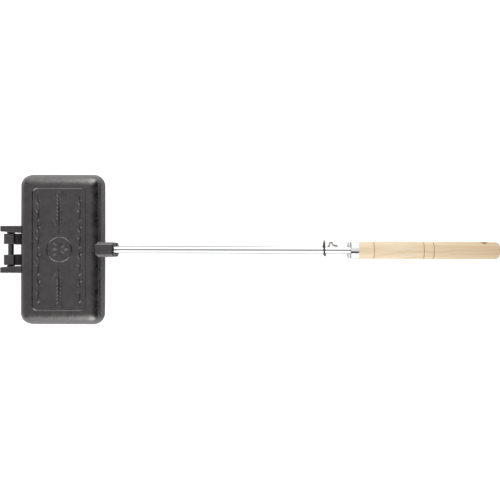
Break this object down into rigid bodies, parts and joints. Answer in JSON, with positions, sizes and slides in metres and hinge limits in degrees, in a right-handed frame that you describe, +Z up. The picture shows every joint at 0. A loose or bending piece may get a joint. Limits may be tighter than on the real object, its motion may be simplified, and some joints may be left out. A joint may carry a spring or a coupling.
{
  "type": "pie iron",
  "caption": "Hinged cast-iron cooking box on chromed rods with turned wooden handles and a swinging wire latch, opening flat on a hook hinge.",
  "frame": {"origin": "middle of the overall length and width, on the surface that the closed iron lies on", "axes": "+X along the rods from the hinge to the handles, +Y across the head, +Z up through the parting plane"},
  "size_m": [0.7214, 0.2186, 0.0504],
  "materials": {
    "cast_iron": "seasoned black cast iron, fine sand-cast grain, low sheen",
    "chromed_rod": "bright chrome plate on steel rod",
    "chromed_ferrule": "bright chrome plate on drawn steel",
    "handle_wood": "sanded, unvarnished pale hardwood",
    "latch_wire": "dark zinc-plated spring wire"
  },
  "bodies": {
    "lower_half": {"lower_casting": "cast_iron", "lower_rod": "chromed_rod", "lower_ferrule": "chromed_ferrule", "lower_handle": "handle_wood"},
    "upper_half": {"upper_casting": "cast_iron", "upper_rod": "chromed_rod", "upper_ferrule": "chromed_ferrule", "upper_handle": "handle_wood"},
    "latch": {"latch_hook": "latch_wire"}
  },
  "joints": [
    {"name": "clamshell_hinge", "type": "hinge", "parent": "lower_half", "child": "upper_half", "pos_m": [-0.34905, 0, 0.0252], "axis": [0, -1, 0], "range_deg": [0, 180]},
    {"name": "latch_swing", "type": "hinge", "parent": "lower_half", "child": "latch", "pos_m": [0.10875, 0, 0.0125], "axis": [-1, 0, 0], "range_deg": [0, 75]}
  ]
}
